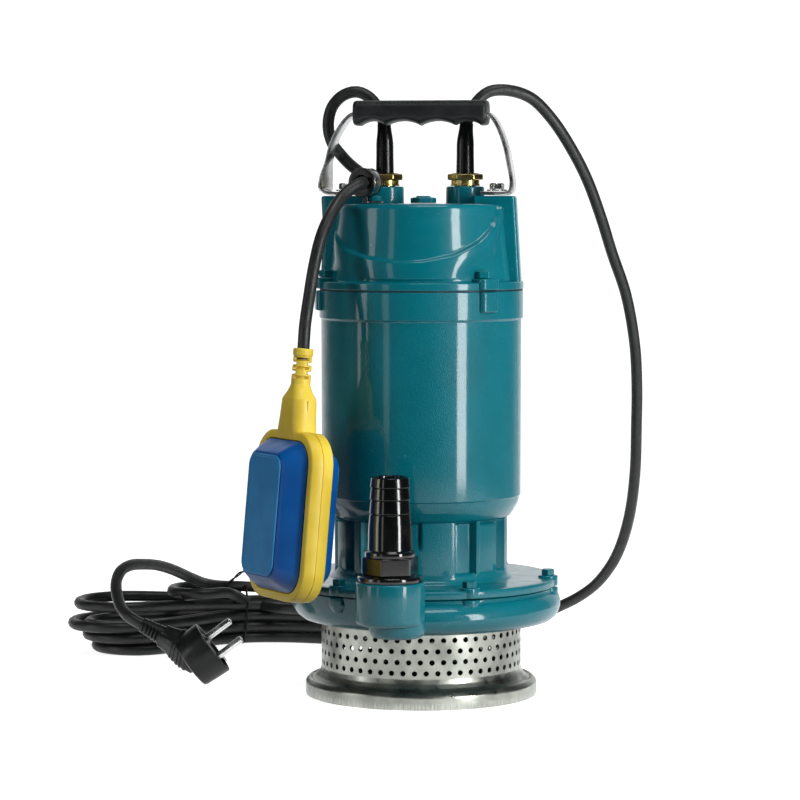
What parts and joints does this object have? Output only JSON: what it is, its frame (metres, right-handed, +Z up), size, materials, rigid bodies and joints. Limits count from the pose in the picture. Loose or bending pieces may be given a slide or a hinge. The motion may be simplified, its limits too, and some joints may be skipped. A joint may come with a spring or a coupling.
{
  "type": "submersible sump pump",
  "caption": "Portable submersible sump pump with strainer base, hose barb outlet, strap handle, tethered float switch and a tied power cord with a mains plug.",
  "frame": {"origin": "on the floor under the pump, on the shaft's axis", "axes": "+Z up along the shaft, +X along the carrying handle, -Y towards the hose fitting"},
  "size_m": [0.4083, 0.4136, 0.3978],
  "materials": {
    "paint": "gloss teal enamel over casting",
    "stainless": "satin drawn stainless",
    "cast_iron": "as cast",
    "copper": "varnished copper wire",
    "gasket_rubber": "matte",
    "fitting_plastic": "gloss black",
    "gland_brass": "satin",
    "sleeve_rubber": "smooth",
    "zinc_steel": "bright plated",
    "grip_plastic": "grained",
    "float_yellow": "satin",
    "float_blue": "satin",
    "switch_plastic": "matte",
    "cord_rubber": "matte"
  },
  "bodies": {
    "pump": {"motor_housing": "paint", "pump_casing": "paint", "top_cover": "paint", "vent_plug": "paint", "clip_bolt": "paint", "casing_screw_1": "paint", "casing_screw_2": "paint", "casing_screw_3": "paint", "casing_screw_4": "paint", "casing_screw_5": "paint", "casing_screw_6": "paint", "cover_bolt_1": "paint", "cover_bolt_2": "paint", "cover_bolt_3": "paint", "strainer": "stainless", "base_plate": "stainless", "upper_bearing": "stainless", "lower_bearing": "stainless", "suction_plate": "cast_iron", "stator_core": "cast_iron", "bearing_bracket": "cast_iron", "oil_chamber_plate": "cast_iron", "seal_seat": "cast_iron", "stator_winding_top": "copper", "stator_winding_bottom": "copper", "casing_gasket": "gasket_rubber", "cover_gasket": "gasket_rubber", "discharge_fitting": "fitting_plastic", "capacitor": "fitting_plastic", "hank_tie": "fitting_plastic", "gland_nut_left": "gland_brass", "gland_nut_right": "gland_brass", "gland_sleeve_left": "sleeve_rubber", "gland_sleeve_right": "sleeve_rubber", "cord_clip_cushion": "sleeve_rubber", "handle_strap": "zinc_steel", "handle_bolt_left": "zinc_steel", "handle_bolt_right": "zinc_steel", "cord_clip_band": "zinc_steel", "plug_pin_near": "zinc_steel", "plug_pin_far": "zinc_steel", "plug_earth_clip": "zinc_steel", "handle_grip": "grip_plastic", "float_cord_loop": "cord_rubber", "power_cord": "cord_rubber", "power_cord_hank": "cord_rubber", "power_cord_tail": "cord_rubber", "plug_body": "cord_rubber", "plug_strain_relief": "cord_rubber"},
    "rotor": {"shaft": "stainless", "rotor_core": "cast_iron", "impeller": "gland_brass", "impeller_nut": "stainless", "seal_head": "stainless"},
    "float": {"float_cord_free": "cord_rubber", "float_frame": "float_yellow", "float_shell_front": "float_blue", "float_shell_back": "float_blue", "float_switch_unit": "switch_plastic"},
    "float_ball": {"float_ball": "stainless"}
  },
  "joints": [
    {"name": "rotor_spin", "type": "hinge", "parent": "pump", "child": "rotor", "pos_m": [0, 0, 0.15], "axis": [0, 0, -1], "continuous": true},
    {"name": "float_swing", "type": "hinge", "parent": "pump", "child": "float", "pos_m": [-0.0345, -0.0281, 0.3332], "axis": [-0.7986, 0.6018, 0], "range_deg": [0, 110]},
    {"name": "float_ball_roll", "type": "slide", "parent": "float", "child": "float_ball", "axis": [0.0731, 0.0592, 0.9956], "range_m": [0, 0.038]}
  ]
}
